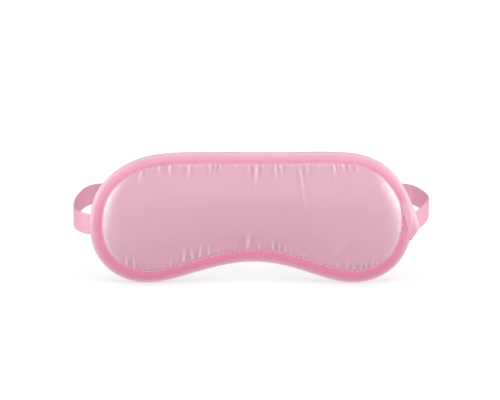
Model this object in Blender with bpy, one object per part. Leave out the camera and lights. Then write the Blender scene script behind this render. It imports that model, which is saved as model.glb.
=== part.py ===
"""Sleep eye mask, modelled as it is sewn: layered pad, edge binding, elastic strap and seams.

The pad stands upright with its satin front facing -Y and its face side facing +Y.
+X is the viewer's right, +Z is up.  Units are metres.  The drawing below is made with the
pad's face plane at y = 0; finish_frame() then moves the whole mask so that the origin lies
at the bottom centre of its box.
"""
import bpy
import bmesh
import numpy as np

MM = 0.001

# ---- driving dimensions ------------------------------------------------------------------
PAD_HEIGHT = 84 * MM            # lobes' bottoms to the straight top edge
CLEARANCE = 0.3 * MM            # air between neighbouring layers
CLOTH = 0.6 * MM                # satin, lining and binding cloth
LINER = 0.4 * MM                # blackout liner
PADDING_RIM = 0.8 * MM          # wadding squeezed flat in the seam
FRONT_CROWN = 8.0 * MM          # how far the satin puffs out
BACK_CROWN = 1.5 * MM           # how far the lining puffs out
BINDING_WIDTH = 7.6 * MM        # width of the binding on each face
PANEL_INSET = 2.0 * MM          # gap from the binding's outer edge to the layers' edges
SEAM_INSET = 6.9 * MM           # the stitch row, in from the outer edge
THREAD = 0.4 * MM               # sewing thread
STRAP_WIDTH = 13.2 * MM
STRAP_THICK = 0.8 * MM
STRAP_HEIGHT = 36.5 * MM        # height of the strap's centre line
AROUND = 80                     # points round the outline
ROUND_STEPS = 6                 # facets round the binding's rolled edge

# The layers, back to front, as (back y, front y) at their rims.
BACK_PANEL = (0.0, -CLOTH)
BLACKOUT = (BACK_PANEL[1] - CLEARANCE, BACK_PANEL[1] - CLEARANCE - LINER)
PADDING = (BLACKOUT[1] - CLEARANCE, BLACKOUT[1] - CLEARANCE - PADDING_RIM)
FRONT_PANEL = (PADDING[1] - CLEARANCE, PADDING[1] - CLEARANCE - CLOTH)
BINDING = (CLEARANCE + CLOTH, FRONT_PANEL[1] - CLEARANCE - CLOTH)

# Half of the pad's outline is not the mirror of the other, as on a hand-guided seam.
OUTLINE = [(x * MM, z * MM) for x, z in (
    (-66, 0.0), (-45, 3.5), (-24, 9.7), (0, 13.5), (24, 10.3), (46, 3.2), (64, 0.0),
    (81, 4.0), (92.5, 13.7), (98.2, 25), (100.2, 38), (99.7, 48.5), (94.2, 62.3), (84.5, 74),
    (71, 81.4), (57, 83.8), (30, 84), (0, 83.9), (-30, 84), (-52, 83.2), (-69, 79.8), (-83.6, 71.8),
    (-95.6, 58), (-100, 40), (-98.4, 24), (-91.6, 11.5), (-80.5, 3.2))]
SPINE_HALF = 56 * MM            # the middle line that the layers' rings close on
SPINE_HEIGHT = 43 * MM
CROWN_RINGS = (0.0, 0.1, 0.24, 0.45, 0.72)   # shares of the way from the seam to the middle

# The strap's run in plan, (x, y), sewn end first.
LEFT_END = [(x * MM, y * MM) for x, y in (
    (-92.8, 2.3), (-97.5, 2.3), (-101.3, 3.7), (-104.9, 6.5), (-108.1, 10.4), (-109.9, 13.8))]
LEFT_SIDE = [(x * MM, y * MM) for x, y in (
    (-110.1, 14.2), (-111.9, 22), (-112.6, 33), (-112.4, 45), (-111.2, 56), (-108.4, 68.6))]
REAR = [(x * MM, y * MM) for x, y in (
    (-108.2, 69.2), (-104.6, 75.6), (-97, 79.6), (-60, 82.4), (0, 83.6), (60, 82.4),
    (97, 79.6), (105.2, 75.6), (109, 69.2))]
RIGHT_SIDE = [(x * MM, y * MM) for x, y in (
    (109.2, 68.6), (113.1, 56), (114.2, 44.5), (112.4, 34), (109.4, 24.5), (106.1, 15.8))]
RIGHT_END = [(x * MM, y * MM) for x, y in (
    (105.9, 15.4), (103.2, 8.8), (100.2, 4), (97, 2.3), (92.8, 2.3))]
BARTACK_LEFT = -95.6 * MM       # the bartacks' middles, across the strap
BARTACK_RIGHT = 95.4 * MM

# The binding's free tail, folded over the strap's right end: (x, z) down each edge.
TAIL_INNER = [(x * MM, z * MM) for x, z in ((94.2, 48.2), (95, 41), (96.4, 34), (98.6, 27))]
TAIL_OUTER = [(x * MM, z * MM) for x, z in ((100.4, 49.4), (102.2, 44.2), (104.7, 34.8))]
TAIL_LEAVES = 1.1               # radians round the rolled edge where the tail leaves it
TAIL_ROWS = 8
TAIL_ACROSS = 8                 # points across the tail

# ---- materials: (colour, roughness) --------------------------------------------------------
SLOTS = {
    "satin": ((0.77, 0.42, 0.50), 0.32),
    "lining": ((0.80, 0.52, 0.58), 0.7),
    "blackout": ((0.02, 0.02, 0.022), 0.9),
    "wadding": ((0.9, 0.89, 0.87), 0.95),
    "binding": ((0.90, 0.38, 0.56), 0.6),
    "elastic": ((0.93, 0.52, 0.64), 0.65),
    "thread": ((0.95, 0.56, 0.68), 0.5),
}


def make_material(slot):
    """A Principled material with the slot's colour and roughness."""
    colour, roughness = SLOTS[slot]
    material = bpy.data.materials.new(slot)
    material.use_nodes = True
    shader = material.node_tree.nodes["Principled BSDF"]
    shader.inputs["Base Color"].default_value = (*colour, 1.0)
    shader.inputs["Roughness"].default_value = roughness
    shader.inputs["Metallic"].default_value = 0.0
    return material


def spline_bends(knots, steps, closed):
    """Second derivatives of the cubic spline through the knots, natural or closed."""
    size = len(knots)
    matrix = np.zeros((size, size))
    slopes = np.diff(knots, axis=0) / steps[:, None]
    right = np.zeros_like(knots)
    for i in range(1, size - 1):
        matrix[i, i - 1:i + 2] = steps[i - 1], 2 * (steps[i - 1] + steps[i]), steps[i]
        right[i] = 6 * (slopes[i] - slopes[i - 1])
    matrix[0, 0] = 1
    matrix[-1, -1] = 1
    if closed:
        matrix[0, -1] = -1
        matrix[-1, :2] = 2 * steps[0], steps[0]
        matrix[-1, -2:] = steps[-1], 2 * steps[-1]
        right[-1] = 6 * (slopes[0] - slopes[-1])
    return np.linalg.solve(matrix, right)


def smooth_curve(points, count, closed=False):
    """Evenly spaced points on the cubic spline through the given points."""
    knots = np.array(list(points) + list(points[:1]) if closed else points)
    steps = np.linalg.norm(np.diff(knots, axis=0), axis=1)
    along = np.concatenate([[0.0], np.cumsum(steps)])
    bends = spline_bends(knots, steps, closed)
    fine = np.linspace(0, along[-1], 40 * len(knots))
    piece = np.clip(np.searchsorted(along, fine, side="right") - 1, 0, len(steps) - 1)
    step = steps[piece][:, None]
    near = (along[piece + 1] - fine)[:, None] / step
    far = 1 - near
    curve = near * knots[piece] + far * knots[piece + 1]
    curve += ((near**3 - near) * bends[piece] + (far**3 - far) * bends[piece + 1]) * step**2 / 6
    walked = np.concatenate([[0.0], np.cumsum(np.linalg.norm(np.diff(curve, axis=0), axis=1))])
    stops = np.linspace(0, walked[-1], count + 1)[:-1] if closed else np.linspace(0, walked[-1], count)
    return np.stack([np.interp(stops, walked, curve[:, axis]) for axis in range(curve.shape[1])], 1)


def inward_normals(outline):
    """Unit normals pointing into a closed anticlockwise outline."""
    ahead = np.roll(outline, -1, axis=0) - np.roll(outline, 1, axis=0)
    ahead /= np.linalg.norm(ahead, axis=1)[:, None]
    return np.stack([-ahead[:, 1], ahead[:, 0]], 1)


def loft(name, loops, slot, wrap=False):
    """Skin closed loops of points into one solid: a ring when wrap is set, else capped."""
    mesh = bpy.data.meshes.new(name)
    shape = bmesh.new()
    rows = [[shape.verts.new(point) for point in loop] for loop in loops]
    count = len(rows[0])
    pairs = list(zip(rows, rows[1:] + rows[:1])) if wrap else list(zip(rows, rows[1:]))
    for low, high in pairs:
        for i in range(count):
            j = (i + 1) % count
            shape.faces.new((low[i], low[j], high[j], high[i]))
    if not wrap:
        shape.faces.new(rows[0])
        shape.faces.new(rows[-1])
    bmesh.ops.recalc_face_normals(shape, faces=shape.faces)
    shape.to_mesh(mesh)
    shape.free()
    mesh.shade_smooth()
    mesh.set_sharp_from_angle(angle=0.7)
    mesh.materials.append(bpy.data.materials[slot])
    part = bpy.data.objects.new(name, mesh)
    bpy.context.scene.collection.objects.link(part)
    return part


def inset_loop(outline, normals, inset, depth):
    """The outline moved inwards, at one depth y."""
    flat = outline + normals * inset
    return [(x, depth, z) for x, z in flat]


def spine_loop(outline, normals, inset, share, depth):
    """A loop part of the way from the inset outline to the spine in the pad's middle."""
    start = outline + normals * inset
    spine = np.stack([np.clip(start[:, 0], -SPINE_HALF, SPINE_HALF),
                      np.full(len(start), SPINE_HEIGHT)], 1)
    flat = start + (spine - start) * share
    return [(x, depth, z) for x, z in flat]


def crown_loops(outline, normals, rim_depth, rise):
    """One face of a layer, rim first: flat under the binding, then crowned to its middle."""
    loops = [inset_loop(outline, normals, PANEL_INSET, rim_depth)]
    flat_end = BINDING_WIDTH + CLEARANCE
    for share in CROWN_RINGS:
        swell = (1 - (1 - share / CROWN_RINGS[-1]) ** 2) ** 0.75
        loops.append(spine_loop(outline, normals, flat_end, share, rim_depth + rise * swell))
    return loops


def make_panel(name, outline, normals, depths, rises, slot):
    """A crowned pad layer, from its back and front faces' rim depths and rises at the middle."""
    back_loops = crown_loops(outline, normals, depths[0], rises[0])
    front_loops = crown_loops(outline, normals, depths[1], rises[1])
    return loft(name, back_loops[::-1] + front_loops, slot)


def make_flat_layer(name, outline, normals, depths, slot):
    """A plain sheet of the pad's shape."""
    return loft(name, [inset_loop(outline, normals, PANEL_INSET, depth) for depth in depths], slot)


def binding_section():
    """The binding's U-shaped section as (inset, depth), legs inwards, rolled edge outwards."""
    middle = (BINDING[0] + BINDING[1]) / 2
    radius = (BINDING[0] - BINDING[1]) / 2
    turns = np.linspace(np.pi / 2, -np.pi / 2, ROUND_STEPS + 1)
    outer = [(radius - radius * np.cos(turn), middle + radius * np.sin(turn)) for turn in turns]
    inside = radius - CLOTH
    inner = [(radius - inside * np.cos(turn), middle + inside * np.sin(turn)) for turn in turns[::-1]]
    back_leg = [(BINDING_WIDTH, BINDING[0] - CLOTH), (BINDING_WIDTH, BINDING[0])]
    front_leg = [(BINDING_WIDTH, BINDING[1]), (BINDING_WIDTH, BINDING[1] + CLOTH)]
    return back_leg + outer + front_leg + inner


def make_binding(outline, normals):
    """The folded tape that wraps the layers' edges all the way round."""
    loops = [inset_loop(outline, normals, inset, depth) for inset, depth in binding_section()]
    return loft("edge_binding", loops, "binding", wrap=True)


def make_seam(name, outline, normals, surface, outwards):
    """A stitch row as a closed thread, just clear of the binding's surface."""
    low = surface + outwards * CLEARANCE
    high = low + outwards * THREAD
    section = ((SEAM_INSET - THREAD / 2, low), (SEAM_INSET + THREAD / 2, low), (SEAM_INSET, high))
    loops = [inset_loop(outline, normals, inset, depth) for inset, depth in section]
    return loft(name, loops, "thread", wrap=True)


def make_strap(name, run, stations):
    """A length of flat elastic standing on edge along a run in plan."""
    path = smooth_curve(run, stations)
    ahead = np.gradient(path, axis=0)
    ahead /= np.linalg.norm(ahead, axis=1)[:, None]
    side = np.stack([-ahead[:, 1], ahead[:, 0]], 1) * STRAP_THICK / 2
    low = STRAP_HEIGHT - STRAP_WIDTH / 2
    high = STRAP_HEIGHT + STRAP_WIDTH / 2
    loops = []
    for point, half in zip(path, side):
        right = point - half
        left = point + half
        loops.append([(*right, low), (*right, high), (*left, high), (*left, low)])
    return loft(name, loops, "elastic")


def make_bartack(name, middle):
    """A dense bar of stitches that holds a strap end to the binding."""
    half_long = STRAP_WIDTH / 2 - 1.2 * MM
    half_wide = 0.8 * MM
    low = LEFT_END[0][1] + STRAP_THICK / 2 + CLEARANCE
    high = low + THREAD
    corners = ((-1, -1), (1, -1), (1, 1), (-1, 1))
    loops = [[(middle + across * half_wide, depth, STRAP_HEIGHT + up * half_long) for across, up in corners]
             for depth in (low, high)]
    return loft(name, loops, "thread")


def tail_depth(x, edge):
    """Depth of the tail's front: flat, then round the binding's roll, then straight off it."""
    middle = (BINDING[0] + BINDING[1]) / 2
    roll = (BINDING[0] - BINDING[1]) / 2
    radius = roll + CLEARANCE + CLOTH
    past = max(0.0, x - (edge - roll))
    leave = radius * np.sin(TAIL_LEAVES)
    if past < leave:
        return middle - np.sqrt(radius**2 - past**2)
    return middle - radius * np.cos(TAIL_LEAVES) + (past - leave) * np.tan(TAIL_LEAVES)


def tail_surface(outline):
    """Rows of points across the tail's front, from its top edge to its lower edge."""
    right_side = np.array(sorted(outline[outline[:, 0] > SPINE_HALF], key=lambda point: point[1]))
    right_side = right_side[right_side[:, 1] < PAD_HEIGHT * 0.8]
    inner = smooth_curve(TAIL_INNER, TAIL_ROWS)
    outer = smooth_curve(TAIL_OUTER, TAIL_ROWS)
    rows = []
    for start, end in zip(inner, outer):
        row = []
        for x, z in np.linspace(start, end, TAIL_ACROSS):
            edge = np.interp(z, right_side[:, 1], right_side[:, 0])
            row.append((x, tail_depth(x, edge), z))
        rows.append(row)
    return np.array(rows)


def make_tail(outline):
    """The binding's folded free end, a thin flap over the strap's right root."""
    front = tail_surface(outline)
    across = np.gradient(front, axis=1)
    down = np.gradient(front, axis=0)
    normal = np.cross(down, across)
    normal /= np.linalg.norm(normal, axis=2)[:, :, None]
    back = front - normal * CLOTH
    loops = [list(front_row) + list(back_row[::-1]) for front_row, back_row in zip(front, back)]
    return loft("binding_tail", loops, "binding")


def make_tail_thread(outline):
    """The stitch row down the tail's inner edge."""
    line = tail_surface(outline)[1:-1, 1]
    loops = []
    for x, y, z in line:
        depth = y - CLEARANCE
        loops.append([(x - THREAD / 2, depth, z), (x + THREAD / 2, depth, z), (x, depth - THREAD, z)])
    return loft("tail_thread", loops, "thread")


def finish_frame(parts):
    """Hang every part on one empty and put the origin at the bottom centre of their box."""
    points = np.array([vertex.co for part in parts for vertex in part.data.vertices])
    low = points.min(axis=0)
    high = points.max(axis=0)
    frame = bpy.data.objects.new("mask", None)
    bpy.context.scene.collection.objects.link(frame)
    for part in parts:
        part.parent = frame
    frame.location = (-(low[0] + high[0]) / 2, -(low[1] + high[1]) / 2, -low[2])


def main():
    for old in list(bpy.data.objects):
        bpy.data.objects.remove(old, do_unlink=True)
    for slot in SLOTS:
        make_material(slot)
    outline = smooth_curve(OUTLINE, AROUND, closed=True)
    normals = inward_normals(outline)
    parts = [
        make_panel("back_panel", outline, normals, BACK_PANEL, (BACK_CROWN, BACK_CROWN), "lining"),
        make_flat_layer("blackout_liner", outline, normals, BLACKOUT, "blackout"),
        make_panel("padding", outline, normals, PADDING, (0.0, -FRONT_CROWN), "wadding"),
        make_panel("front_panel", outline, normals, FRONT_PANEL, (-FRONT_CROWN, -FRONT_CROWN), "satin"),
        make_binding(outline, normals),
        make_seam("binding_thread_back", outline, normals, BINDING[0], 1),
        make_seam("binding_thread_front", outline, normals, BINDING[1], -1),
        make_strap("strap_end_left", LEFT_END, 12),
        make_strap("strap_side_left", LEFT_SIDE, 16),
        make_strap("strap_rear", REAR, 44),
        make_strap("strap_side_right", RIGHT_SIDE, 16),
        make_strap("strap_end_right", RIGHT_END, 12),
        make_bartack("bartack_left", BARTACK_LEFT),
        make_bartack("bartack_right", BARTACK_RIGHT),
        make_tail(outline),
        make_tail_thread(outline),
    ]
    finish_frame(parts)


main()
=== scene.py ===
"""Sleep eye mask: the finished look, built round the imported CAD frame.

Shapes are drawn in the same coordinates as the CAD drawing: millimetres turned into metres,
the pad's face plane at y = 0 and the lobes' bottoms at z = 0.  new_object() then moves a drawn
shape onto the frame.  +X is the viewer's right, -Y is the satin front, +Z is up.
"""
import math
import random

import bpy
import bmesh
import numpy as np
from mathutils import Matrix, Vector, geometry, kdtree, noise
from mathutils.bvhtree import BVHTree


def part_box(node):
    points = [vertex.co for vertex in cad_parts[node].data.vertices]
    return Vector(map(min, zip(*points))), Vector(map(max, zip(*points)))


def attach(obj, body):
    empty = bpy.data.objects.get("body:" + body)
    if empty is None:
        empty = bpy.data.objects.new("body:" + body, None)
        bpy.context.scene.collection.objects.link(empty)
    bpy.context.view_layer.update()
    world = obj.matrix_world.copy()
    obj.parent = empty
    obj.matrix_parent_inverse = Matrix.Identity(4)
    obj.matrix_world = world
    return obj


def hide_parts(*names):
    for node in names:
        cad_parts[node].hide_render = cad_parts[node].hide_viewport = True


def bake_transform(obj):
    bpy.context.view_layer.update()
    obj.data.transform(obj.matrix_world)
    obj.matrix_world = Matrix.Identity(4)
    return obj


MM = 0.001

# ---- the drawing's sizes ----
BINDING_FRONT = -4.2 * MM       # depth of the CAD binding's front face
BINDING_BACK = 0.9 * MM         # depth of its back face
BINDING_WIDTH = 7.6 * MM
BINDING_STRETCH = (1.03, 0.07, 0.17)    # its width as sewn: all round, added on the left, added below
# The binding's front as (inset, depth): its edge rolls over, and it rises towards the seam.
BINDING_FRONT_FACE = [(inset * MM, depth * MM) for inset, depth in (
    (0.0, -1.65), (0.5, -3.0), (1.8, -4.0), (3.6, -4.65), (5.4, -5.05), (6.9, -5.2), (7.6, -5.1))]
FRONT_RIM = -3.3 * MM           # satin's outer face at the seam
BACK_RIM = 0.0                  # lining's outer face at the seam
FRONT_CROWN = 8.0 * MM
BACK_CROWN = 1.5 * MM
CROWN_REACH = 31 * MM           # distance in from the seam to the full puff
PANEL_RINGS = (2.0 * MM, 4.8 * MM, 7.0 * MM, 7.15 * MM, 7.3 * MM)    # insets, all under the binding
LAYER_INSET = 2.4 * MM          # where the inner layers' edges lie
LINER_FRONT = -1.35 * MM
SATIN_LIP = 1.75 * MM           # how far the satin stands up against the binding's inner edge
LINING_LIP = 1.0 * MM           # and how far the lining does
SEAM_INSET = 6.9 * MM
STITCH_PITCH = 2.3 * MM
STITCHES_FRONT = -5.25 * MM     # depths that the stitch rows lie at
STITCHES_BACK = 1.12 * MM
CLOTH = 0.4 * MM
STRAP_WIDTH = 13.2 * MM
STRAP_THICK = 0.9 * MM
STRAP_HEIGHT = 36.5 * MM
RIB_HEIGHT = 0.05 * MM
RIB_PITCH = 1.1 * MM

OUTLINE = [(x * MM, z * MM) for x, z in (
    (-66, 0.0), (-45, 3.5), (-24, 9.7), (0, 13.5), (24, 10.3), (46, 3.2), (64, 0.0),
    (81, 4.0), (92.5, 13.7), (98.2, 25), (100.2, 38), (99.7, 48.5), (94.2, 62.3), (84.5, 74),
    (71, 81.4), (57, 83.8), (30, 84), (0, 83.9), (-30, 84), (-52, 83.2), (-69, 79.8), (-83.6, 71.8),
    (-95.6, 58), (-100, 40), (-98.4, 24), (-91.6, 11.5), (-80.5, 3.2))]

STRAP_RUN = [(x * MM, y * MM) for x, y in (
    (-92.8, 2.3), (-97.5, 2.3), (-101.3, 3.7), (-104.9, 6.5), (-108.1, 10.4), (-110, 14),
    (-111.9, 22), (-112.6, 33), (-112.4, 45), (-111.2, 56), (-108.3, 69),
    (-104.6, 75.6), (-97, 79.6), (-60, 82.4), (0, 83.6), (60, 82.4),
    (97, 79.6), (105.2, 75.6), (109.1, 69), (113.1, 56), (114.2, 44.5), (112.4, 34), (109.4, 24.5),
    (105.9, 15.4), (103.2, 8.8), (100.2, 4), (97, 2.3), (92.8, 2.3))]
STRAP_REACH = (24 * MM, 66 * MM)    # depths between which its sides stretch
BARTACKS = (("bartack_left", -95.6 * MM), ("bartack_right", 95.4 * MM))

# The satin blank, which a short cloth simulation inflates.
BLANK_RINGS = (5 * MM, 7.7 * MM)    # insets of its outermost rings of points
BLANK_SPACING = 1.2 * MM
BLANK_STRAY = 0.25              # how uneven its points are, as a share of their spacing
BLANK_HELD = 7.8 * MM           # points at a smaller inset than this are held
SATIN_START = 0.8               # share of the full puff that it starts from
SATIN_EASE = -0.011             # how much longer the satin is than its seam: its ease, as a negative
SATIN_EASE_REACH = 6 * MM       # how far in from the seam that ease is
SATIN_TAUT_ENDS = (78 * MM, 14 * MM)    # how far out the ease starts to fall off, and over what
SATIN_PRESSURE = 4.0
SATIN_FRAMES = 20

# The tape's free end: it runs straight on where the pad curves away, over the strap's root.
TAIL_OUTER = [(x * MM, z * MM) for x, z in (
    (93.7, 63), (96.6, 57.5), (100.2, 49.7), (102.1, 45), (104.3, 38.5), (104.9, 35))]
TAIL_INNER = [(x * MM, z * MM) for x, z in (
    (87.3, 59.1), (89.9, 55.0), (92.2, 50.4), (94.1, 45), (95.7, 39.4), (97.3, 33.5), (99, 27.4))]
TAIL_GRID = (70, 26)            # rows of points down it and points in each row
TAIL_THICK = 0.8 * MM           # the tape folded double
TAIL_LIFT = 0.35 * MM           # how far its front stands off the binding under it
TAIL_RISE = 34                  # rows over which it comes up out of the binding
TAIL_EDGE = -0.5 * MM           # depth of its free outer edge
TAIL_BULGE = 3.2 * MM           # how far the rest of it stands in front of that edge
TAIL_SEAM = (18, 68, 3)         # its stitches' first and last rows, and their place in a row
TAIL_STITCHES = 14

# Gathers of the satin along the top and bottom seams: (x mm, length mm, height as a share).
TOP_GATHERS = (
    (-56.5, 5, 0.8), (-50, 7, 0.96), (-44, 4, 0.48), (-38, 10, 0.8), (-25, 9, 0.88), (-21.8, 8, 0.96),
    (-18.8, 6, 0.8), (-9, 4, 0.4), (-1, 8, 0.72), (3.4, 13, 0.96), (7.4, 6, 0.64), (15, 9, 0.96),
    (18, 8, 0.96), (30, 24, 0.88), (34.5, 10, 0.8), (42, 4, 0.4), (50.5, 9, 0.8), (56.5, 6, 0.72),
    (60.5, 5, 0.72), (65.5, 4, 0.64), (-67.5, 6, 0.9), (-64.5, 4, 0.5))
BOTTOM_GATHERS = (
    (-77.5, 7, 0.9), (-72.5, 9, 1.0), (-64, 4, 0.5), (-50, 5, 0.64), (-41.8, 10, 1.0), (-36, 9, 0.9),
    (-32, 10, 0.9), (-26, 10, 0.8), (-20, 4, 0.48), (-9.5, 5, 0.56), (-2.3, 13, 0.96), (5.2, 6, 0.7),
    (13.9, 8, 0.88), (17.6, 8, 0.8), (21.3, 6, 0.7), (33, 4, 0.48), (54, 5, 0.48), (59.8, 6, 0.8),
    (64, 5, 0.7), (68.5, 6, 0.96), (71.6, 6, 0.9), (75.3, 6, 1.0), (78.2, 5, 0.9))

GATHER_BANDS = ((TOP_GATHERS, 60 * MM, 90 * MM), (BOTTOM_GATHERS, -1 * MM, 22 * MM))    # seams' heights
GATHER_SCALE = 1.15 * MM        # height of a gather listed as 1
GATHER_LEAN = 0.12              # the most that one leans, as a slope
GATHER_WIDTHS = (0.6, 0.9)      # half widths of short ones, in mm
END_PAINTED_HIGHLIGHT = 0.18             # painted highlight on the satin at the pad's two ends, where the side lights catch its curve, as a share of a gather's

# Soft slanting folds of the satin, away from its seam: (start mm, end mm, half width mm, height mm).
SLANTS = (((50, 18), (61.5, 35), 3.8, 0.5), ((40, 23), (43.5, 32), 2.2, 0.25))

# ---- camera and light ----
CAMERA_ELEVATION = math.radians(15)
CAMERA_DISTANCE = 1.2
VIEW_WIDTH = 0.31               # what the picture takes in at the pad
AIM = (-0.6 * MM, 0.0, 52.9 * MM)
FLOOR_DEPTH = -0.2 * MM
FLOOR_COLOUR = 0.30
FLOOR_GLOW = (0.76, 1.0)        # near the mask, where the soft boxes add to it, and far off
FLOOR_REACH = (0.16, 0.55)      # distances between which its glow changes
CONTACT = 0.34                  # share of the floor's glow taken away where the mask nearly touches it: a painted contact shadow
CONTACT_REACH = 14 * MM
BOUNCE_DEPTH = -1.2 * MM
BOUNCE_GLOW = (0.54, 0.7)       # below the mask and out to its sides
BOUNCE_REACH = (0.12, 0.34)
SURROUND_RADIUS = 5.9
SURROUND_SIDES = 48
AMBIENT = 0.02
SOFT_BOXES = (                  # name, place, size and power
    ("left_box", (-0.76, -0.2, 0.08), (0.5, 0.7), 4.2),
    ("right_box", (0.76, -0.2, 0.08), (0.5, 0.7), 4.2),
    ("left_front_box", (-0.68, -0.36, -0.16), (0.34, 1.1), 3.5),
    ("right_front_box", (0.68, -0.36, -0.16), (0.34, 1.1), 4.9),
    ("front_box", (0.0, -1.5, 0.5), (1.6, 0.9), 6.1),
    ("top_box", (0.0, -0.3, 0.85), (1.0, 0.55), 4.9),
    ("back_box", (0.0, 1.4, 0.6), (1.8, 0.9), 12.0))

rng = random.Random(20)


# ---- curves and meshes ----
def spline_bends(knots, steps, closed):
    """Second derivatives of the cubic spline through the knots, natural or closed."""
    size = len(knots)
    matrix = np.zeros((size, size))
    slopes = np.diff(knots, axis=0) / steps[:, None]
    right = np.zeros_like(knots)
    for i in range(1, size - 1):
        matrix[i, i - 1:i + 2] = steps[i - 1], 2 * (steps[i - 1] + steps[i]), steps[i]
        right[i] = 6 * (slopes[i] - slopes[i - 1])
    matrix[0, 0] = 1
    matrix[-1, -1] = 1
    if closed:
        matrix[0, -1] = -1
        matrix[-1, :2] = 2 * steps[0], steps[0]
        matrix[-1, -2:] = steps[-1], 2 * steps[-1]
        right[-1] = 6 * (slopes[0] - slopes[-1])
    return np.linalg.solve(matrix, right)


def smooth_curve(points, count, closed=False):
    """Evenly spaced points on the cubic spline through the given points."""
    knots = np.array(list(points) + list(points[:1]) if closed else points, float)
    steps = np.linalg.norm(np.diff(knots, axis=0), axis=1)
    along = np.concatenate([[0.0], np.cumsum(steps)])
    bends = spline_bends(knots, steps, closed)
    fine = np.linspace(0, along[-1], 40 * len(knots) + 4 * count)
    piece = np.clip(np.searchsorted(along, fine, side="right") - 1, 0, len(steps) - 1)
    step = steps[piece][:, None]
    near = (along[piece + 1] - fine)[:, None] / step
    far = 1 - near
    curve = near * knots[piece] + far * knots[piece + 1]
    curve += ((near**3 - near) * bends[piece] + (far**3 - far) * bends[piece + 1]) * step**2 / 6
    walked = np.concatenate([[0.0], np.cumsum(np.linalg.norm(np.diff(curve, axis=0), axis=1))])
    stops = np.linspace(0, walked[-1], count + 1)[:-1] if closed else np.linspace(0, walked[-1], count)
    return np.stack([np.interp(stops, walked, curve[:, axis]) for axis in range(curve.shape[1])], 1)


def inward_normals(outline):
    """Unit normals pointing into a closed anticlockwise outline."""
    ahead = np.roll(outline, -1, axis=0) - np.roll(outline, 1, axis=0)
    ahead /= np.linalg.norm(ahead, axis=1)[:, None]
    return np.stack([-ahead[:, 1], ahead[:, 0]], 1)


def add_object(name, data):
    """An object in the scene."""
    piece = bpy.data.objects.new(name, data)
    bpy.context.scene.collection.objects.link(piece)
    return piece


def new_object(name, points, faces, material, corners=None):
    """A smooth-shaded object at the frame's place, with its faces turned outwards."""
    mesh = bpy.data.meshes.new(name)
    mesh.from_pydata([tuple(p) for p in np.asarray(points) + ORIGIN], [], faces)
    if corners is not None:
        layer = mesh.uv_layers.new(name="cloth")
        layer.data.foreach_set("uv", np.asarray(corners, np.float32).ravel())
    shape = bmesh.new()
    shape.from_mesh(mesh)
    bmesh.ops.recalc_face_normals(shape, faces=shape.faces)
    shape.to_mesh(mesh)
    shape.free()
    mesh.shade_smooth()
    mesh.set_sharp_from_angle(angle=math.radians(50))
    mesh.materials.append(material)
    return add_object(name, mesh)


def grid_faces(rows, cols, wrap_rows, wrap_cols, u, v):
    """Quads of a grid of points, and each corner's UV from the lists u (rows) and v (columns)."""
    index = np.arange(rows * cols).reshape(rows, cols)
    starts = np.arange(rows - (not wrap_rows)), np.arange(cols - (not wrap_cols))
    row, col = [part.ravel() for part in np.meshgrid(*starts, indexing="ij")]
    around = (0, 0), (0, 1), (1, 1), (1, 0)
    faces = np.stack([index[(row + down) % rows, (col + over) % cols] for down, over in around], 1)
    uv = [line for down, over in around for line in (u[row + down], v[col + over])]
    return faces, np.stack(uv, 1)


def grid_object(name, grid, material, wrap_rows=False, wrap_cols=False, u_size=1.0, v_size=1.0, caps=False):
    """An object skinned over a grid of points; caps closes its first and last rows."""
    rows, cols = grid.shape[:2]
    u = np.linspace(0, u_size, rows + wrap_rows)
    v = np.linspace(0, v_size, cols + wrap_cols)
    faces, uv = grid_faces(rows, cols, wrap_rows, wrap_cols, u, v)
    faces = [tuple(int(i) for i in face) for face in faces]
    corners = list(uv.reshape(-1, 2))
    if caps:
        for row in (0, rows - 1):
            faces.append(tuple(row * cols + i for i in range(cols)))
            corners += [(u[row], v[i]) for i in range(cols)]
    return new_object(name, grid.reshape(-1, 3), faces, material, corners)


def mark(piece, name, values):
    """A number for each point of a piece, for its material to read."""
    layer = piece.data.attributes.new(name, "FLOAT", "POINT")
    layer.data.foreach_set("value", np.asarray(values, np.float32).ravel())


def join_parts(name, parts, material):
    """One object from many small (points, faces) shapes."""
    points, faces = [], []
    for some_points, some_faces in parts:
        start = len(points)
        points += [tuple(p) for p in some_points]
        faces += [tuple(start + i for i in face) for face in some_faces]
    return new_object(name, np.array(points), faces, material)


def stitch_shape(start, end, lift, radius, sides=8, stations=9):
    """One stitch: a short round thread that dives at both ends and stands up along lift."""
    start, end, lift = np.array(start), np.array(end), np.array(lift)
    ahead = (end - start) / np.linalg.norm(end - start)
    up = lift / np.linalg.norm(lift)
    side = np.cross(ahead, up)
    points = []
    for share in np.linspace(0, 1, stations):
        arch = math.sin(math.pi * share) ** 0.6
        size = radius * (0.45 + 0.55 * arch)
        centre = start + (end - start) * share + lift * (arch - 0.35)
        for turn in np.linspace(0, 2 * math.pi, sides, endpoint=False):
            points.append(centre + size * (math.cos(turn) * side + math.sin(turn) * up))
    faces = []
    for row in range(stations - 1):
        for i in range(sides):
            j = (i + 1) % sides
            faces.append((row * sides + i, row * sides + j, (row + 1) * sides + j, (row + 1) * sides + i))
    faces.append(tuple(range(sides)))
    faces.append(tuple((stations - 1) * sides + i for i in range(sides)))
    return points, faces


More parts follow.
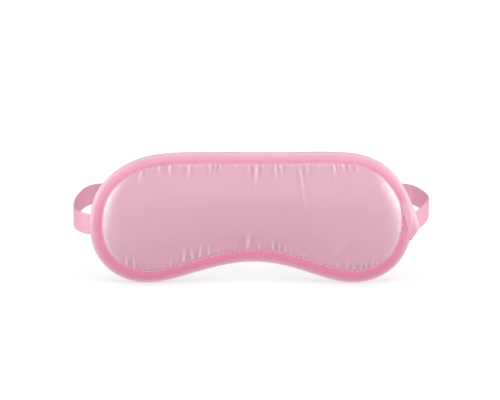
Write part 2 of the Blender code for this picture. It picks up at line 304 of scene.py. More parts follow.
# ---- materials ----
class Nodes:
    """Short calls for building one material's node tree."""

    def __init__(self, name):
        self.material = bpy.data.materials.new(name)
        self.material.use_nodes = True
        self.tree = self.material.node_tree
        self.shader = self.tree.nodes["Principled BSDF"]

    def feed(self, socket, value):
        """Link another node's output to a socket, or set its value."""
        if isinstance(value, bpy.types.NodeSocket):
            self.tree.links.new(value, socket)
        else:
            socket.default_value = value

    def add(self, kind, **inputs):
        """A node with named settings (lower case) and inputs (as Blender names them, _ for space)."""
        node = self.tree.nodes.new(kind)
        for key, value in inputs.items():
            if hasattr(node, key):
                setattr(node, key, value)
            else:
                self.feed(node.inputs[key.replace("_", " ")], value)
        return node

    def set(self, **inputs):
        """Values or links for the shader's own inputs."""
        for key, value in inputs.items():
            self.feed(self.shader.inputs[key.replace("_", " ")], value)

    def times(self, first, second):
        """The product of two numbers, either of which may be another node's output."""
        node = self.add("ShaderNodeMath", operation="MULTIPLY")
        self.feed(node.inputs[0], first)
        self.feed(node.inputs[1], second)
        return node.outputs[0]

    def place(self, scale=(1, 1, 1), turn=0.0, cloth=False):
        """Coordinates in metres times scale: the piece's own, or along and across its cloth."""
        source = self.add("ShaderNodeUVMap", uv_map="cloth") if cloth else self.add("ShaderNodeTexCoord")
        spot = source.outputs["UV" if cloth else "Object"]
        return self.add("ShaderNodeMapping", Vector=spot, Scale=scale, Rotation=(0, 0, turn)).outputs[0]

    def noise(self, spot, scale, detail=3.0, roughness=0.5):
        """Soft noise from 0 to 1."""
        node = self.add("ShaderNodeTexNoise", Vector=spot, Scale=scale, Detail=detail, Roughness=roughness)
        return node.outputs["Fac"]

    def blend(self, factor, low, high):
        """A colour between two, by a factor."""
        node = self.add("ShaderNodeMix", data_type="RGBA")
        for index, value in ((0, factor), (6, low), (7, high)):
            self.feed(node.inputs[index], value)
        return node.outputs[2]

    def spread(self, value, low, high, to_low=0.0, to_high=1.0):
        """A number carried from one range to another, and kept within it."""
        node = self.add("ShaderNodeMapRange", Value=value, From_Min=low, From_Max=high)
        self.feed(node.inputs["To Min"], to_low)
        self.feed(node.inputs["To Max"], to_high)
        return node.outputs[0]

    def attribute(self, name):
        """The number that mark() gave each point."""
        return self.add("ShaderNodeAttribute", attribute_name=name).outputs["Fac"]

    def wave(self, spot, scale, bands, distortion=0.0, detail=2.0):
        """Threads: bands from 0 to 1."""
        node = self.add("ShaderNodeTexWave", Vector=spot, Scale=scale, bands_direction=bands)
        self.feed(node.inputs["Distortion"], distortion)
        self.feed(node.inputs["Detail"], detail)
        return node.outputs["Fac"]

    def bump(self, height, distance, strength=1.0, under=None):
        """A normal raised by a height, on top of another normal."""
        node = self.add("ShaderNodeBump", Height=height, Distance=distance, Strength=strength)
        if under is not None:
            self.tree.links.new(under, node.inputs["Normal"])
        return node.outputs[0]


def rgb(red, green, blue):
    """An opaque colour."""
    return (red, green, blue, 1.0)


def satin_material():
    """Pale pink satin: smooth floats with a soft sheen, faint slubs and a slow drift of colour, with a
    painted highlight on its gathers, folds and ends and painted shade beside the gathers.
    """
    m = Nodes("satin_cloth")
    spot = m.place()
    drift = m.noise(spot, 38, 2)
    slub = m.noise(m.place(scale=(0.25, 1, 2.6)), 900, 2)
    colour = m.blend(drift, rgb(0.545, 0.235, 0.325), rgb(0.585, 0.265, 0.355))
    colour = m.blend(m.times(slub, 0.22), colour, rgb(0.74, 0.40, 0.48))
    painted_satin_light = m.attribute("painted_satin_light")
    # painted highlight: paler where the gathers and folds stand up and at the pad's ends; painted shade:
    # darker beside the gathers
    colour = m.blend(m.spread(painted_satin_light, 0.04, 0.7, 0.0, 0.92), colour, rgb(0.92, 0.74, 0.79))
    colour = m.blend(m.spread(painted_satin_light, -0.04, -0.3, 0.0, 0.4), colour, rgb(0.40, 0.12, 0.20))
    ripple = m.noise(m.place(scale=(1, 1, 0.6)), 260, 2)
    weave = m.noise(m.place(scale=(0.3, 1, 3)), 2600, 1)
    normal = m.bump(ripple, 0.0003, 0.25)
    normal = m.bump(weave, 0.00004, 0.35, normal)
    m.set(Base_Color=colour, Roughness=m.spread(slub, 0.3, 0.7, 0.41, 0.49), Normal=normal)
    m.set(Sheen_Weight=0.25, Sheen_Roughness=0.35, Sheen_Tint=rgb(1, 0.86, 0.9))
    m.set(Specular_IOR_Level=1.0, IOR=1.85)
    return m.material


def binding_material():
    """Rose pink bias tape: a fine diagonal weave with a soft sheen, painted paler towards the top where the
    light from above falls, with a painted sheen on its rim and painted shade in the groove by its seam.
    """
    m = Nodes("binding_tape")
    cloth = m.place(cloth=True, turn=math.radians(45))
    weave = m.times(m.wave(cloth, 900, "X", 1.0, 1.0), m.wave(cloth, 900, "Y", 1.0))
    drift = m.noise(m.place(), 120, 3)
    # painted light: the tape is drawn paler towards the top, as light from above would make it
    painted_top_light = m.spread(m.add("ShaderNodeSeparateXYZ", Vector=m.place()).outputs["Z"], 0.0, 0.084)
    colour = m.blend(painted_top_light, rgb(0.565, 0.115, 0.255), rgb(0.68, 0.285, 0.405))
    colour = m.blend(m.times(drift, 0.16), colour, rgb(0.80, 0.27, 0.43))
    colour = m.blend(m.times(weave, 0.25), colour, rgb(0.78, 0.37, 0.49))
    # painted sheen: paler, greyer pink on the tape's rolled outer rim and over the tail
    colour = m.blend(m.times(m.attribute("rim"), 0.75), colour, rgb(0.74, 0.49, 0.57))
    # painted shade: a deeper, more saturated pink in the groove along the seam
    colour = m.blend(m.times(m.attribute("groove"), 0.7), colour, rgb(0.80, 0.155, 0.345))
    normal = m.bump(m.noise(m.place(), 420, 2), 0.00025, 0.35)
    normal = m.bump(weave, 0.00005, 0.4, normal)
    m.set(Base_Color=colour, Roughness=m.spread(drift, 0.3, 0.7, 0.44, 0.56), Normal=normal)
    m.set(Sheen_Weight=1.0, Sheen_Roughness=0.35, Sheen_Tint=rgb(1, 0.95, 0.97))
    m.set(Specular_IOR_Level=1.0, IOR=1.6)
    return m.material


def elastic_material():
    """Woven elastic: ribs along its length, crossed by fine picks."""
    m = Nodes("elastic_band")
    cloth = m.place(cloth=True)
    weave = m.times(m.wave(cloth, 170, "Y"), m.wave(cloth, 330, "X", 0.6))
    drift = m.noise(m.place(), 90, 2)
    colour = m.blend(drift, rgb(0.66, 0.25, 0.377), rgb(0.71, 0.282, 0.412))
    colour = m.blend(m.times(weave, 0.22), colour, rgb(0.82, 0.44, 0.54))
    normal = m.bump(weave, 0.00012, 0.5)
    m.set(Base_Color=colour, Roughness=m.spread(weave, 0.2, 0.8, 0.56, 0.46), Normal=normal)
    m.set(Sheen_Weight=0.1, Sheen_Roughness=0.5, Sheen_Tint=rgb(1, 0.9, 0.94))
    m.set(Specular_IOR_Level=1.0, IOR=1.75)
    return m.material


def lining_material():
    """The cloth against the face: a plain weave, matt and a little lighter than the satin."""
    m = Nodes("lining_cloth")
    spot = m.place()
    weave = m.times(m.wave(spot, 420, "X", 0.5), m.wave(spot, 420, "Z", 0.5))
    drift = m.noise(spot, 60, 3)
    colour = m.blend(drift, rgb(0.76, 0.42, 0.50), rgb(0.80, 0.47, 0.55))
    colour = m.blend(m.times(weave, 0.25), colour, rgb(0.9, 0.62, 0.68))
    normal = m.bump(drift, 0.0004, 0.3)
    normal = m.bump(weave, 0.00008, 0.5, normal)
    m.set(Base_Color=colour, Roughness=m.spread(weave, 0.0, 1.0, 0.82, 0.68), Normal=normal, Sheen_Weight=0.3)
    return m.material


def thread_material():
    """Twisted polyester sewing thread."""
    m = Nodes("sewing_thread")
    twist = m.wave(m.place(turn=0.6), 1500, "DIAGONAL")
    colour = m.blend(twist, rgb(0.87, 0.46, 0.60), rgb(0.96, 0.66, 0.77))
    normal = m.bump(twist, 0.00006, 0.5)
    m.set(Base_Color=colour, Roughness=0.42, Normal=normal, Sheen_Weight=0.2)
    return m.material


def wadding_material():
    """White polyester wadding."""
    m = Nodes("wadding_fibre")
    fibre = m.noise(m.place(scale=(1, 1, 4)), 700, 6, 0.7)
    colour = m.blend(fibre, rgb(0.74, 0.72, 0.70), rgb(0.93, 0.92, 0.90))
    m.set(Base_Color=colour, Roughness=0.95, Normal=m.bump(fibre, 0.0006, 0.7), Sheen_Weight=0.5)
    return m.material


def blackout_material():
    """Black light-blocking cloth."""
    m = Nodes("blackout_cloth")
    weave = m.noise(m.place(scale=(1, 1, 3)), 1800, 3)
    colour = m.blend(weave, rgb(0.012, 0.012, 0.014), rgb(0.04, 0.038, 0.04))
    m.set(Base_Color=colour, Roughness=0.85, Normal=m.bump(weave, 0.0001, 0.5))
    return m.material


# ---- the pad's cloth ----
def binding_stretch(normals):
    """How much wider than drawn the binding was sewn, round the pad: widest below, narrowest on top."""
    everywhere, left, below = BINDING_STRETCH
    return everywhere + left * normals[:, 0] + below * normals[:, 1]


class Pad:
    """The outline, densely sampled, and how far a point lies in from it."""

    def __init__(self, count=1600):
        self.outline = smooth_curve(OUTLINE, count, closed=True)
        self.normals = inward_normals(self.outline)
        self.stretch = binding_stretch(self.normals)
        steps = np.linalg.norm(np.roll(self.outline, -1, axis=0) - self.outline, axis=1)
        self.girth = steps.sum()
        self.tree = kdtree.KDTree(count)
        for i, (x, z) in enumerate(self.outline):
            self.tree.insert((x, z, 0), i)
        self.tree.balance()

    def ring(self, inset, count):
        """Evenly spread points on the outline moved inwards, by an inset in the drawn binding's terms."""
        pick = np.linspace(0, len(self.outline), count, endpoint=False).astype(int)
        return self.outline[pick] + self.normals[pick] * (inset * self.stretch[pick])[:, None]

    def holds(self, points, inset):
        """Which points lie inside the outline moved inwards: crossings of a ray to the right."""
        ring = self.ring(inset, 400)
        after = np.roll(ring, -1, axis=0)
        inside = np.zeros(len(points), bool)
        for (x0, z0), (x1, z1) in zip(ring, after):
            if z0 == z1:
                continue
            between = (z0 > points[:, 1]) != (z1 > points[:, 1])
            crossing = x0 + (points[:, 1] - z0) * (x1 - x0) / (z1 - z0)
            inside ^= between & (points[:, 0] < crossing)
        return inside

    def depth_in(self, points):
        """Each point's inset from the outline, and the index of its nearest outline point."""
        found = [self.tree.find((x, z, 0)) for x, z in points]
        nearest = np.array([hit[1] for hit in found])
        away, stretch = np.array([hit[2] for hit in found]), self.stretch[nearest]
        inner = away - (stretch - 1) * BINDING_WIDTH
        return np.where(away < stretch * BINDING_WIDTH, away / stretch, inner), nearest

    def measure(self, points):
        """Each point's inset, its distance in from the binding and its nearest outline point."""
        depth_in, nearest = self.depth_in(points)
        return depth_in, np.clip(depth_in - BINDING_WIDTH, 0, None), nearest


def cloth_disc(pad, rings, spacing, stray=0.0):
    """An even triangle mesh inside the pad: rings of points at the given insets, then an even fill.

    stray moves the fill's points about by that share of the spacing, so that folds have no grain.
    What comes back is its points, its triangles and how many points lie on the first ring, the rim.
    """
    count = int(pad.girth / spacing)
    hoops = [pad.ring(inset, count) for inset in rings]
    low, high = hoops[0].min(axis=0), hoops[0].max(axis=0)
    rows = np.arange(low[1], high[1], spacing * math.sqrt(3) / 2)
    grid = np.array([(x + (i % 2) * spacing / 2, z) for i, z in enumerate(rows)
                     for x in np.arange(low[0], high[0], spacing)])
    grid += np.array([(rng.uniform(-1, 1), rng.uniform(-1, 1)) for _ in grid]) * stray * spacing
    inner = grid[pad.holds(grid, rings[-1] + spacing * 0.7)]
    points = np.concatenate(hoops + [inner])
    edges = [(i, (i + 1) % count) for i in range(count)]
    made = geometry.delaunay_2d_cdt([Vector(p) for p in points], edges, [], 0, 1e-7)
    flat = np.array([tuple(p) for p in made[0]])
    faces = [face for face in made[2] if len(face) == 3]
    centres = np.array([flat[list(face)].mean(axis=0) for face in faces])
    keep = pad.holds(centres, rings[0])
    return flat, [face for face, kept in zip(faces, keep) if kept], count


def crown_profile(inside):
    """Share of the full puff at a distance in from the seam: steep first, then nearly flat."""
    share = np.clip(inside / CROWN_REACH, 0, 1)
    return (1 - (1 - share) ** 2.6) ** 0.8


def inflate(blank, flat, depth_in, inside):
    """Run the satin blank as cloth that is held at its seam, slack near it and under pressure."""
    held = blank.vertex_groups.new(name="held")
    held.add([int(i) for i in np.flatnonzero(depth_in < BLANK_HELD)], 1.0, "REPLACE")
    taut = blank.vertex_groups.new(name="taut")
    ends = np.clip((np.abs(flat[:, 0]) - SATIN_TAUT_ENDS[0]) / SATIN_TAUT_ENDS[1], 0, 1)
    for i, share in enumerate(np.exp(-(inside / SATIN_EASE_REACH) ** 2) * (1 - 0.8 * ends)):
        taut.add([i], float(1 - share), "REPLACE")
    cloth = blank.modifiers.new("cloth", "CLOTH")
    settings = cloth.settings
    settings.vertex_group_mass = "held"
    settings.vertex_group_shrink = "taut"
    settings.shrink_min = SATIN_EASE
    settings.shrink_max = 0.0
    settings.quality = 6
    settings.mass = 0.1
    settings.tension_stiffness = settings.compression_stiffness = 18
    settings.shear_stiffness = 6
    settings.bending_stiffness = 0.06
    settings.air_damping = 3
    settings.use_pressure = True
    settings.uniform_pressure_force = SATIN_PRESSURE
    settings.effector_weights.gravity = 0
    cloth.collision_settings.use_self_collision = False
    cloth.point_cache.frame_end = SATIN_FRAMES
    for step in range(1, SATIN_FRAMES + 1):
        bpy.context.scene.frame_set(step)


def puffed_satin(pad):
    """The satin over its wadding, as a tree to sample depths from."""
    flat, faces, _ = cloth_disc(pad, BLANK_RINGS, BLANK_SPACING, BLANK_STRAY)
    depth_in, inside, _ = pad.measure(flat)
    start = FRONT_RIM - SATIN_START * FRONT_CROWN * crown_profile(inside)
    mesh = bpy.data.meshes.new("satin_blank")
    mesh.from_pydata([(x, y, z) for (x, z), y in zip(flat, start)], [], faces)
    blank = add_object("satin_blank", mesh)
    inflate(blank, flat, depth_in, inside)
    smooth = blank.modifiers.new("smooth", "SUBSURF")
    smooth.levels = smooth.render_levels = 1
    final = blank.evaluated_get(bpy.context.evaluated_depsgraph_get())
    made = final.to_mesh()
    points = [vertex.co.copy() for vertex in made.vertices]
    corners = [tuple(face.vertices) for face in made.polygons]
    final.to_mesh_clear()
    bpy.context.scene.frame_set(1)
    bpy.data.objects.remove(blank, do_unlink=True)
    return BVHTree.FromPolygons(points, corners)


def sampled(tree, flat, missing):
    """Depth of the settled satin at each (x, z); missing where there is none."""
    depth = np.full(len(flat), missing)
    for i, (x, z) in enumerate(flat):
        spot = tree.ray_cast(Vector((x, -0.2, z)), Vector((0, 1, 0)))[0]
        if spot is not None:
            depth[i] = spot.y
    return depth


def averaged(values, faces, keep, rounds):
    """The values smoothed over a mesh's edges, except where keep is set."""
    ends = np.array(faces)[:, (0, 1, 1, 2, 2, 0)].reshape(-1, 2)
    for _ in range(rounds):
        total, count = np.zeros(len(values)), np.zeros(len(values))
        for near, far in ((0, 1), (1, 0)):
            np.add.at(total, ends[:, near], values[ends[:, far]])
            np.add.at(count, ends[:, near], 1)
        values = np.where(keep, values, (values + total / count) / 2)
    return values


def gather_height(pad, points, inside, nearest):
    """Upright ridges of the gathered satin along its top and bottom seams, from the lists."""
    seam = pad.outline[nearest]
    height = np.zeros(len(points))
    for gathers, low, high in GATHER_BANDS:
        on_seam = (seam[:, 1] > low) & (seam[:, 1] < high)
        for x, reach, rise in gathers:
            lean = rng.uniform(-GATHER_LEAN, GATHER_LEAN)
            wide = rng.uniform(*GATHER_WIDTHS) * MM * (1 + reach / 30)
            share = inside / (reach * MM)
            across = (points[:, 0] - x * MM - lean * inside) / (wide * (1 + 0.5 * np.clip(share, 0, 1.5)))
            ridge = np.exp(-across**2) - 0.55 * np.exp(-(across / 2.1) ** 2)
            along = np.clip(share * 5, 0, 1) * np.exp(-(np.clip(share, 0, 9) * 1.25) ** 2)
            height += np.where(on_seam, GATHER_SCALE * rise * ridge * along, 0)
    return height


def small_gathers(pad, inside, nearest, pitch, rise):
    """Fine uneven puckers all along a seam, fading out within a few millimetres."""
    place = nearest / len(pad.outline) * pad.girth
    wave = np.array([noise.noise((s / pitch, 3.1, 0)) for s in place])
    fade = np.clip(inside / (1.2 * MM), 0, 1) * np.exp(-inside / (3.5 * MM))
    return rise * wave * fade


def slanting_folds(points):
    """Height of the soft slanting folds."""
    height = np.zeros(len(points))
    for start, end, half_width, rise in SLANTS:
        start, end = np.array(start) * MM, np.array(end) * MM
        run = end - start
        along = np.clip((points - start) @ run / (run @ run), 0, 1)
        away = np.linalg.norm(points - start - along[:, None] * run, axis=1)
        ridge = np.exp(-(away / (half_width * MM)) ** 2)
        height += rise * MM * ridge * (0.4 + 0.6 * np.sin(math.pi * along))
    return height


def slow_folds(points):
    """Broad shallow unevenness of stretched cloth, from about -1 to 1."""
    return np.array([noise.noise((x * 22, z * 13, 0.4)) + 0.5 * noise.noise((x * 60, z * 26, 5.0))
                     for x, z in points])


def cloth_solid(name, flat, faces, rim_count, outer, inner, material):
    """A closed piece between two depths over the same flat mesh."""
    points = [np.stack([flat[:, 0], depth, flat[:, 1]], 1) for depth in (outer, inner)]
    count = len(flat)
    shell = [tuple(face) for face in faces] + [tuple(count + i for i in reversed(face)) for face in faces]
    shell += [(i, (i + 1) % rim_count, count + (i + 1) % rim_count, count + i) for i in range(rim_count)]
    return new_object(name, np.concatenate(points), shell, material)


def finish_layer(piece, node, pad, inset):
    """Hide the CAD layer that a sheet stands for, and hand the sheet back."""
    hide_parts(node)
    edge = pad.ring(inset, 800)
    return piece


def seam_lip(depth_in):
    """Share of a panel's small step up out of the seam, against the binding's edge."""
    return np.clip((depth_in - PANEL_RINGS[2]) / (PANEL_RINGS[4] - PANEL_RINGS[2]), 0, 1)


def front_panel(pad, material, settled):
    """The puffed satin front with its gathers."""
    flat, faces, rim_count = cloth_disc(pad, PANEL_RINGS, 0.57 * MM)
    depth_in, inside, nearest = pad.measure(flat)
    outer = averaged(sampled(settled, flat, FRONT_RIM), faces, depth_in < PANEL_RINGS[4], 2)
    outer -= SATIN_LIP * seam_lip(depth_in)
    gathers = gather_height(pad, flat, inside, nearest)
    slants = slanting_folds(flat)
    outer -= gathers + slants
    outer -= small_gathers(pad, inside, nearest, 2.4 * MM, 0.3 * MM)
    outer -= 0.3 * MM * slow_folds(flat) * np.clip(inside / (8 * MM), 0, 1)
    piece = cloth_solid("satin_front", flat, faces, rim_count, outer, outer + CLOTH, material)
    # painted highlight: the satin is tinted paler at the pad's two ends, most right by the seam, where the
    # side lights would catch its curve
    fade = np.exp(-inside / (7 * MM)) + 1.4 * np.exp(-inside / (1.2 * MM))
    ends = END_PAINTED_HIGHLIGHT * pad.normals[nearest, 0] ** 2 * fade
    # painted highlight on the gathers' crests and the slanting folds, painted shade beside the gathers, and
    # the painted highlight at the ends
    mark(piece, "painted_satin_light", np.tile((gathers + 0.2 * slants) / GATHER_SCALE + ends, 2))
    return finish_layer(piece, "front_panel", pad, PANEL_RINGS[0])


def back_panel(pad, material):
    """The lining against the face, with fine puckers along its seam."""
    flat, faces, rim_count = cloth_disc(pad, PANEL_RINGS, 0.8 * MM)
    depth_in, inside, nearest = pad.measure(flat)
    outer = BACK_RIM + BACK_CROWN * crown_profile(inside) + LINING_LIP * seam_lip(depth_in)
    outer += small_gathers(pad, inside, nearest, 3.0 * MM, 0.4 * MM)
    outer += 0.3 * MM * slow_folds(flat + 0.3) * np.clip(inside / (8 * MM), 0, 1)
    piece = cloth_solid("lining_back", flat, faces, rim_count, outer, outer - CLOTH, material)
    return finish_layer(piece, "back_panel", pad, PANEL_RINGS[0])


def liner(pad, material):
    """The light-blocking sheet between the lining and the wadding."""
    flat, faces, rim_count = cloth_disc(pad, (LAYER_INSET,), 2.2 * MM)
    front = LINER_FRONT + 0.1 * MM * slow_folds(flat + 0.7)
    piece = cloth_solid("liner_sheet", flat, faces, rim_count, front, front + CLOTH, material)
    return finish_layer(piece, "blackout_liner", pad, LAYER_INSET)


def wadding(pad, material, settled):
    """The polyester wadding that fills the front, just under the satin."""
    flat, faces, rim_count = cloth_disc(pad, (LAYER_INSET,), 2.0 * MM)
    _, inside, _ = pad.measure(flat)
    tufts = np.array([noise.noise((x * 90, z * 90, 2)) for x, z in flat]) * np.clip(inside / (9 * MM), 0, 1)
    under = sampled(settled, flat, FRONT_RIM) + 0.7 * MM + 0.5 * MM * np.clip(inside / (3 * MM), 0, 1)
    under -= 0.8 * SATIN_LIP * np.clip(inside / (2 * MM), 0, 1)
    back = np.full(len(flat), LINER_FRONT - 0.3 * MM)
    piece = cloth_solid("wadding_fill", flat, faces, rim_count, under + 0.25 * MM * tufts, back, material)
    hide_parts("padding")
    return piece


def binding_profile():
    """The folded tape's closed section as (inset, depth): rolled outer edge, two soft legs."""
    back = [(7.6, 0.7), (7.6, 1.15), (6.9, 1.25), (5.4, 1.3), (3.6, 1.1), (1.8, 0.6), (0.5, -0.4)]
    inner = [(7.6, -4.65), (6.2, -4.6), (4.0, -4.2), (2.2, -3.5), (1.1, -2.6), (0.9, -1.65), (1.1, -0.9),
             (2.2, 0.1), (4.0, 0.55), (6.2, 0.75)]
    back, inner = [[(inset * MM, depth * MM) for inset, depth in leg] for leg in (back, inner)]
    return smooth_curve(back + BINDING_FRONT_FACE + inner, 46, closed=True)


def edge_binding(pad, material):
    """The tape swept round the pad, pulled in at each stitch and faintly uneven."""
    columns = 1500
    outline = smooth_curve(OUTLINE, columns, closed=True)
    normals = inward_normals(outline)
    place = np.arange(columns) / columns * pad.girth
    stitch = 0.5 + 0.5 * np.cos(2 * math.pi * place / STITCH_PITCH)
    slack = np.array([noise.noise((s / (7 * MM), 0.5, 0)) for s in place])
    edge = np.array([noise.noise((s / (4 * MM), 9.5, 0)) for s in place])
    section = binding_profile()
    rows = []
    middle = (BINDING_FRONT + BINDING_BACK) / 2
    for inset, depth in section:
        near_seam = math.exp(-((inset - SEAM_INSET) / (1.1 * MM)) ** 2)
        on_leg = math.exp(-((inset - 4.2 * MM) / (2.0 * MM)) ** 2)
        out = np.sign(depth - middle) * (abs(depth - middle) > 2.2 * MM)
        lift = out * (on_leg * 0.16 * slack - near_seam * 0.16 * stitch) * MM
        shift = 0.14 * MM * edge * min(1, (inset / BINDING_WIDTH) ** 4)
        flat = outline + normals * ((inset + shift) * binding_stretch(normals))[:, None]
        rows.append(np.stack([flat[:, 0], depth + lift, flat[:, 1]], 1))
    grid = np.array(rows)
    steps = np.linalg.norm(np.roll(section, -1, axis=0) - section, axis=1)
    piece = grid_object("binding_tape", grid, material, True, True, steps.sum(), pad.girth)
    # painted sheen on the rolled outer edge, read as rim by the tape's material
    mark(piece, "rim", np.repeat(np.exp(-(section[:, 0] / (1.9 * MM)) ** 2), columns))
    # painted shade in the groove by the seam, read as groove by the tape's material
    mark(piece, "groove", np.repeat(np.exp(-((section[:, 0] - SEAM_INSET) / (1.7 * MM)) ** 2), columns))
    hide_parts("edge_binding")
    return piece


def seam_stitches(name, pad, surface, out, material, node):
    """A row of single stitches round the pad on one face of the binding."""
    count = int(round(pad.girth / STITCH_PITCH))
    parts = []
    ring = smooth_curve(OUTLINE, count * 2, closed=True)
    normals = inward_normals(ring)
    seam = (ring + normals * (SEAM_INSET * binding_stretch(normals))[:, None])[::2]
    for (x0, z0), (x1, z1) in zip(seam, np.roll(seam, -1, axis=0)):
        reach = 0.74 + rng.uniform(-0.06, 0.06)
        depth = surface + out * rng.uniform(0.0, 0.05) * MM
        ahead = np.array([x1 - x0, 0, z1 - z0]) * reach
        start = np.array([x0, depth, z0])
        parts.append(stitch_shape(start, start + ahead, (0, out * 0.24 * MM, 0), 0.26 * MM))
    piece = join_parts(name, parts, material)
    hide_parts(node)
    return piece


def tail_front(pad):
    """The tape's free end as rows of points down it, each from its inner edge to its outer one."""
    rows, cols = TAIL_GRID
    inner, outer = smooth_curve(TAIL_INNER, rows), smooth_curve(TAIL_OUTER, rows)
    across = np.linspace(0, 1, cols)[:, None]
    flat = np.array([start + (end - start) * across for start, end in zip(inner, outer)])
    spots = flat.reshape(-1, 2)
    inset, _ = pad.depth_in(spots)
    inset = np.where(pad.holds(spots, 0.0), inset, 0.0).reshape(rows, cols)
    from_edge = np.linalg.norm(flat - flat[:, -1:], axis=2)
    free = TAIL_EDGE - TAIL_BULGE * (1 - np.exp(-from_edge / TAIL_BULGE))
    insets, depths = np.array(BINDING_FRONT_FACE).T
    rise = np.clip(np.arange(rows) / TAIL_RISE, 0, 1)[:, None]
    over = np.interp(inset, insets, depths) - TAIL_LIFT * (2.2 * rise - 1.2)
    depth = np.where(inset > 0, np.minimum(over, free), free)
    for _ in range(3):
        depth[1:-1, 1:-1] = (depth[:-2, 1:-1] + depth[2:, 1:-1] + depth[1:-1, :-2] + depth[1:-1, 2:]) / 4
    crease = np.exp(-((flat[:, :, 1] - 46.5 * MM - 0.25 * (flat[:, :, 0] - 98 * MM)) / (0.5 * MM)) ** 2)
    return np.stack([flat[:, :, 0], depth + 0.22 * MM * crease, flat[:, :, 1]], 2)


def tape_tail(pad, material):
    """The binding's free end with its turned-in edges, lying over the strap's right root."""
    front = tail_front(pad)
    columns = np.arange(TAIL_GRID[1])
    edge = np.clip(np.minimum(columns, columns[::-1]) / 1.5, 0, 1)[None, :]
    soft = np.array([0, 1, 0])
    back = front + soft * TAIL_THICK
    round_off = (1 - edge)[:, :, None] * soft * 0.3 * MM
    grid = np.concatenate([front + round_off, (back - round_off)[:, ::-1]], axis=1)
    piece = grid_object("tape_tail", grid, material, False, True, 40 * MM, 16 * MM, caps=True)
    from_edge = np.linalg.norm(front - front[:, -1:], axis=2)
    # painted sheen: the tail is tinted paler all over, most at its free edge
    rim = 0.35 + 0.65 * np.exp(-(from_edge / (2.5 * MM)) ** 2)
    mark(piece, "rim", np.concatenate([rim, rim[:, ::-1]], axis=1))
    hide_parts("binding_tail")
    return piece


def tail_stitches(pad, material):
    """The stitch row down the tail's inner edge."""
    first, last, column = TAIL_SEAM
    line = tail_front(pad)[first:last, column]
    stops = np.linspace(0, len(line) - 1, 2 * TAIL_STITCHES + 1)
    line = np.stack([np.interp(stops, np.arange(len(line)), line[:, axis]) for axis in range(3)], 1)
    parts = [stitch_shape(line[i], line[i] + (line[i + 1] - line[i]) * 0.9, (0, -0.22 * MM, 0), 0.2 * MM)
             for i in range(0, 2 * TAIL_STITCHES, 2)]
    piece = join_parts("tail_stitches", parts, material)
    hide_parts("tail_thread")
    return piece


def bartack(node, middle, material):
    """A dense zigzag that holds a strap end to the binding."""
    depth = STRAP_RUN[0][1] + STRAP_THICK / 2 + 0.02 * MM
    turns = 34
    parts = []
    for i in range(turns):
        up = STRAP_HEIGHT + (i / (turns - 1) - 0.5) * (STRAP_WIDTH - 2.6 * MM)
        start = (middle - 0.85 * MM, depth, up + rng.uniform(-0.05, 0.05) * MM)
        end = (middle + 0.85 * MM, depth, up + 0.16 * MM + rng.uniform(-0.05, 0.05) * MM)
        parts.append(stitch_shape(start, end, (0, 0.16 * MM, 0), 0.17 * MM))
    piece = join_parts(node + "_stitches", parts, material)
    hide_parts(node)
    return piece


# ---- strap ----
def strap_section():
    """The elastic's section as (out of its face, up): ribbed faces and rounded edges."""
    half = STRAP_WIDTH / 2
    thick = STRAP_THICK / 2
    ups = np.linspace(-half, half, 53)
    edge = np.sqrt(np.clip(1 - (np.abs(ups) / half) ** 14, 0, 1))
    ribs = RIB_HEIGHT * np.cos(2 * math.pi * ups / RIB_PITCH)
    face = (thick - RIB_HEIGHT + ribs) * edge
    front = list(zip(face[1:-1], ups[1:-1]))
    back = list(zip(-face[1:-1], ups[1:-1]))[::-1]
    return [(0.0, -half)] + front + [(0.0, half)] + back


def strap_piece(name, path, start, stop, material):
    """The elastic along part of its run, by the indexes of the run's points."""
    ahead = np.gradient(path, axis=0)
    ahead /= np.linalg.norm(ahead, axis=1)[:, None]
    side = np.stack([-ahead[:, 1], ahead[:, 0]], 1)
    rows = []
    for point, across in zip(path[start:stop], side[start:stop]):
        rows.append([(*(point + across * out), STRAP_HEIGHT + up) for out, up in strap_section()])
    length = np.linalg.norm(np.diff(path[start:stop], axis=0), axis=1).sum()
    return grid_object(name, np.array(rows), material, False, True, length, 2 * STRAP_WIDTH, caps=True)


def strap(material):
    """Both sewn ends of the elastic and the loop between them, as three pieces in place of the CAD strap
    parts.
    """
    path = smooth_curve(STRAP_RUN, 420)
    split_left = int(np.argmax(path[:, 1] > STRAP_REACH[0]))
    split_right = len(path) - int(np.argmax(path[::-1, 1] > STRAP_REACH[0]))
    left = strap_piece("elastic_end_left", path, 0, split_left + 1, material)
    loop = strap_piece("elastic_loop", path, split_left, split_right, material)
    right = strap_piece("elastic_end_right", path, split_right - 1, len(path), material)
    for piece, node in ((left, "strap_end_left"), (right, "strap_end_right")):
        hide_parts(node)
        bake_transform(piece)
    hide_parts("strap_side_left", "strap_side_right", "strap_rear")
    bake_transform(loop)


# ---- stage ----
def make_camera():
    """A long lens a little above the mask, straight in front of it."""
    data = bpy.data.cameras.new("camera")
    data.angle = 2 * math.atan(VIEW_WIDTH / 2 / CAMERA_DISTANCE)
    camera = add_object("camera", data)
    aim = Vector(ORIGIN) + Vector(AIM)
    back = Vector((0, -math.cos(CAMERA_ELEVATION), math.sin(CAMERA_ELEVATION)))
    camera.location = aim + back * CAMERA_DISTANCE
    camera.rotation_euler = (-back).to_track_quat("-Z", "Y").to_euler()
    bpy.context.scene.camera = camera


def area_light(name, place, aim, size, power):
    """A white soft box that the camera doesn't see."""
    data = bpy.data.lights.new(name, "AREA")
    data.shape = "RECTANGLE"
    data.size, data.size_y = size
    data.energy = power
    light = add_object(name, data)
    light.location = place
    light.rotation_euler = (Vector(aim) - Vector(place)).to_track_quat("-Z", "Y").to_euler()
    light.visible_camera = False


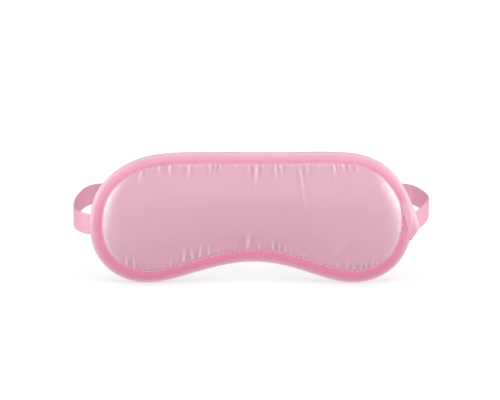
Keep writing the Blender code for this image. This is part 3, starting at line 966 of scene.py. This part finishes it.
def stage_piece(name, points, faces, colour, glow, reach, along=(1, 1, 1), contact=0.0):
    """A matt piece of the studio that only the camera sees.

    Its glow changes over a reach from the mask, along the axes where along is 1.  It falls by the share
    called contact under what nearly
    touches it: a painted contact shadow.
    """
    m = Nodes(name + "_paper")
    grain = m.noise(m.place(), 30, 2)
    m.set(Base_Color=m.blend(grain, rgb(*[colour] * 3), rgb(*[colour + 0.02] * 3)), Roughness=0.9)
    away = m.add("ShaderNodeVectorMath", operation="LENGTH", Vector=m.place(scale=along)).outputs["Value"]
    strength = m.spread(away, *reach, *glow)
    if contact:
        # painted contact shadow: the glow is dimmed where the mask is near
        open_share = m.add("ShaderNodeAmbientOcclusion", Distance=CONTACT_REACH).outputs["AO"]
        strength = m.times(strength, m.spread(open_share, 0.0, 1.0, 1.0 - contact, 1.0))
    m.set(Emission_Color=rgb(1, 1, 1), Emission_Strength=strength, Specular_IOR_Level=0.0)
    mesh = bpy.data.meshes.new(name)
    mesh.from_pydata(points, [], faces)
    mesh.materials.append(m.material)
    piece = add_object(name, mesh)
    piece.visible_diffuse = piece.visible_glossy = piece.visible_shadow = False
    return piece


def level_square(half, height):
    """The corners of a level square round the middle."""
    return [(x * half, y * half, height) for x, y in ((-1, -1), (1, -1), (1, 1), (-1, 1))]


def make_studio():
    """A pale floor that stays white where it isn't shadowed, a far surround and a bounce card.

    The card, just under the floor, lights the mask from below and is seen only by it.
    """
    whole = [(0, 1, 2, 3)]
    floor = level_square(6.0, FLOOR_DEPTH)
    stage_piece("floor", floor, whole, FLOOR_COLOUR, FLOOR_GLOW, FLOOR_REACH, contact=CONTACT)
    turns = np.linspace(0, 2 * math.pi, SURROUND_SIDES, endpoint=False)
    wall = [(SURROUND_RADIUS * math.cos(turn), SURROUND_RADIUS * math.sin(turn), height)
            for height in (FLOOR_DEPTH, 6.0) for turn in turns]
    after = [(i, (i + 1) % SURROUND_SIDES) for i in range(SURROUND_SIDES)]
    sides = [(i, j, SURROUND_SIDES + j, SURROUND_SIDES + i) for i, j in after]
    stage_piece("surround", wall, sides, 0.4, (1.0, 1.0), (0, 1))
    card = level_square(3.0, BOUNCE_DEPTH)
    card = stage_piece("bounce_card", card, whole, 0.0, BOUNCE_GLOW, BOUNCE_REACH, along=(1, 0, 0))
    card.visible_diffuse = card.visible_glossy = True
    card.visible_camera = False


def make_light():
    """Tall soft boxes beside and before the mask, a softer one above, and nearly no ambient light."""
    world = bpy.data.worlds.new("studio")
    world.use_nodes = True
    background = world.node_tree.nodes["Background"]
    background.inputs["Color"].default_value = rgb(1, 1, 1)
    background.inputs["Strength"].default_value = AMBIENT
    bpy.context.scene.world = world
    middle = (0, ORIGIN[1], 0.04)
    for name, place, size, power in SOFT_BOXES:
        area_light(name, place, middle, size, power)
    bpy.context.scene.view_settings.view_transform = "Standard"


# ---- the mask ----
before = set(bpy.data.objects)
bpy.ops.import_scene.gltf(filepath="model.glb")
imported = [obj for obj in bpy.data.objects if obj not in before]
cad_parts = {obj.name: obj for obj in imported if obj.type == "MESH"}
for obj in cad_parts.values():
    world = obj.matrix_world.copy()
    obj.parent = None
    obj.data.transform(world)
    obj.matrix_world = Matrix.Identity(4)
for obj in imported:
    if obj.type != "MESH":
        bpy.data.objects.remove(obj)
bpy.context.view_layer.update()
edge_low, edge_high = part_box("edge_binding")
drawn = smooth_curve(OUTLINE, 2000, closed=True)
ORIGIN = np.array((
    (edge_low.x + edge_high.x - drawn[:, 0].min() - drawn[:, 0].max()) / 2,
    edge_high.y - BINDING_BACK,
    edge_low.z - drawn[:, 1].min()))

make_camera()
make_studio()
make_light()
pad = Pad()
satin = satin_material()
tape = binding_material()
elastic = elastic_material()
lining = lining_material()
thread = thread_material()

settled = puffed_satin(pad)
on_pad = [
    front_panel(pad, satin, settled),
    back_panel(pad, lining),
    liner(pad, blackout_material()),
    wadding(pad, wadding_material(), settled),
    edge_binding(pad, tape),
    seam_stitches("stitches_front", pad, STITCHES_FRONT, -1, thread, "binding_thread_front"),
    seam_stitches("stitches_back", pad, STITCHES_BACK, 1, thread, "binding_thread_back"),
    tape_tail(pad, tape),
    tail_stitches(pad, thread),
]
on_pad += [bartack(node, middle, thread) for node, middle in BARTACKS]
for piece in on_pad:
    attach(piece, "pad")
strap(elastic)
